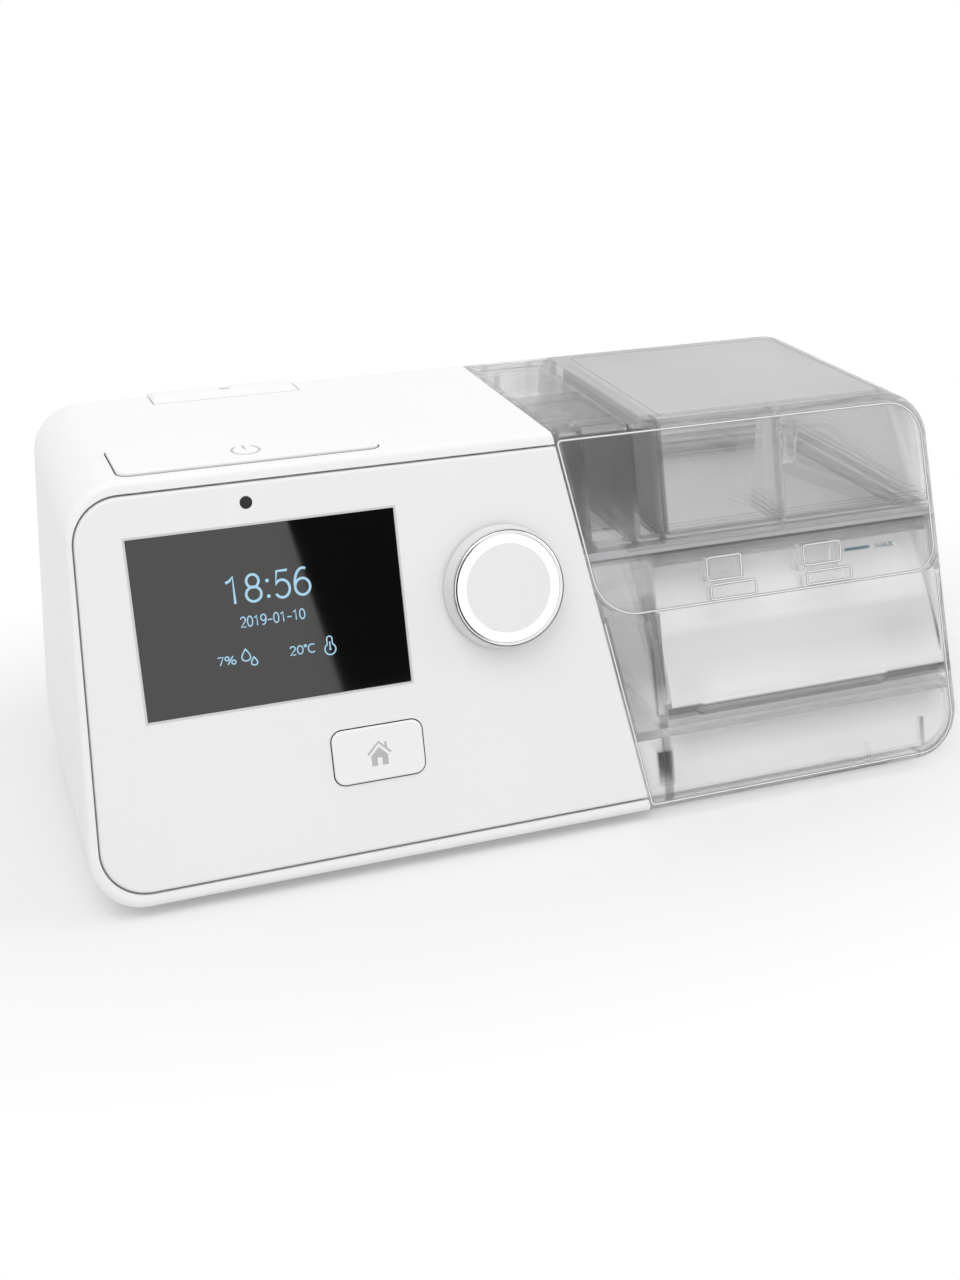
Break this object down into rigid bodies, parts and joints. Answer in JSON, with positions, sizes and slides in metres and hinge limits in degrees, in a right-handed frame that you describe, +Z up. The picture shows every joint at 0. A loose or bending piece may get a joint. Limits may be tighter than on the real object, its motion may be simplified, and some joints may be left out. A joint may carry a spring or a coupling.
{
  "type": "cpap machine",
  "caption": "CPAP machine: leaning front with screen, push-and-turn knob and keys, clear slide-out humidifier tank with hinged lid, rear air outlet.",
  "frame": {"origin": "middle of the underside of the whole machine, on the table", "axes": "+Z up, the leaning front faces -Y, the clear tank is at +X"},
  "size_m": [0.2646, 0.1396, 0.1116],
  "materials": {
    "white_shell": "fine matte white ABS",
    "white_panel": "smooth satin white ABS",
    "white_key": "satin white key caps",
    "white_tray": "matte light grey ABS",
    "screen_glass": "dark cover glass over the screen",
    "screen": "colour screen",
    "dark_plastic": "dark moulded plastic",
    "sensor_black": "black sensor window",
    "circuit_board": "green circuit board",
    "chip_black": "black components",
    "chrome_trim": "bright chrome",
    "steel": "brushed stainless steel",
    "light_ring": "white translucent light ring",
    "knob_white": "satin white knob",
    "knob_disc": "pale grey satin disc",
    "blower_plastic": "natural nylon",
    "soft_silicone": "pale silicone rubber",
    "grey_silicone": "grey silicone rubber",
    "rubber_black": "black rubber",
    "filter_foam": "white filter fleece",
    "clear_plastic": "clear polycarbonate"
  },
  "bodies": {
    "root": {"main_shell": "white_shell", "front_panel": "white_panel", "base_plate": "white_shell", "display_window": "screen_glass", "lcd_module": "screen", "display_frame": "dark_plastic", "light_sensor": "sensor_black", "main_board": "circuit_board", "board_components": "chip_black", "button_switches": "chip_black", "power_board": "circuit_board", "encoder_body": "steel", "blower_housing": "blower_plastic", "blower_cover": "blower_plastic", "blower_motor": "steel", "blower_mount": "soft_silicone", "blower_pedestal": "dark_plastic", "inlet_duct": "soft_silicone", "outlet_elbow": "blower_plastic", "air_outlet_port": "white_shell", "port_seals": "grey_silicone", "filter_foam": "filter_foam", "filter_frame": "white_tray", "dc_jack": "rubber_black", "card_socket": "steel", "humidifier_tray": "white_tray", "heater_plate": "steel", "heater_seal": "grey_silicone", "rubber_feet": "rubber_black"},
    "home_key": {"home_button": "white_key"},
    "power_key": {"power_button": "white_key"},
    "knob_carrier": {"encoder_plunger": "steel"},
    "knob": {"knob_shaft": "steel", "knob_body": "knob_white", "knob_trim_ring": "chrome_trim", "knob_light_ring": "light_ring", "knob_disc": "knob_disc"},
    "blower_rotor": {"impeller": "blower_plastic", "motor_shaft": "steel"},
    "filter_door": {"filter_cover": "white_shell"},
    "card_door": {"port_cover": "white_shell"},
    "tank": {"tank_tub": "clear_plastic", "tub_metal_base": "steel", "tank_seal": "grey_silicone", "lid_hinge_pins": "steel"},
    "lid": {"tank_lid": "clear_plastic"}
  },
  "joints": [
    {"name": "home_press", "type": "slide", "parent": "root", "child": "home_key", "axis": [0, 0.9583, -0.2857], "range_m": [0, 0.0008], "stiffness_N_per_m": 900, "springref_m": -0.0006},
    {"name": "power_press", "type": "slide", "parent": "root", "child": "power_key", "axis": [0, 0, -1], "range_m": [0, 0.0008], "stiffness_N_per_m": 900, "springref_m": -0.0006},
    {"name": "knob_push", "type": "slide", "parent": "root", "child": "knob_carrier", "axis": [0, 0.9583, -0.2857], "range_m": [0, 0.0006], "stiffness_N_per_m": 1500, "springref_m": -0.0008},
    {"name": "knob_turn", "type": "hinge", "parent": "knob_carrier", "child": "knob", "pos_m": [-0.01235, -0.04998, 0.0719], "axis": [0, -0.9583, 0.2857], "continuous": true},
    {"name": "blower_spin", "type": "hinge", "parent": "root", "child": "blower_rotor", "pos_m": [-0.052, 0.0008, 0.088], "axis": [0, 0, 1], "continuous": true},
    {"name": "tank_slide", "type": "slide", "parent": "root", "child": "tank", "axis": [1, 0, 0], "range_m": [0, 0.13]},
    {"name": "lid_hinge", "type": "hinge", "parent": "tank", "child": "lid", "pos_m": [0.075, 0.04319, 0.075], "axis": [-1, 0, 0], "range_deg": [0, 95]},
    {"name": "filter_cover_slide", "type": "slide", "parent": "root", "child": "filter_door", "axis": [0, 1, 0], "range_m": [0, 0.014]},
    {"name": "card_door_hinge", "type": "hinge", "parent": "root", "child": "card_door", "pos_m": [-0.106, 0.04009, 0.0827], "axis": [-1, 0, 0], "range_deg": [0, 100]}
  ]
}
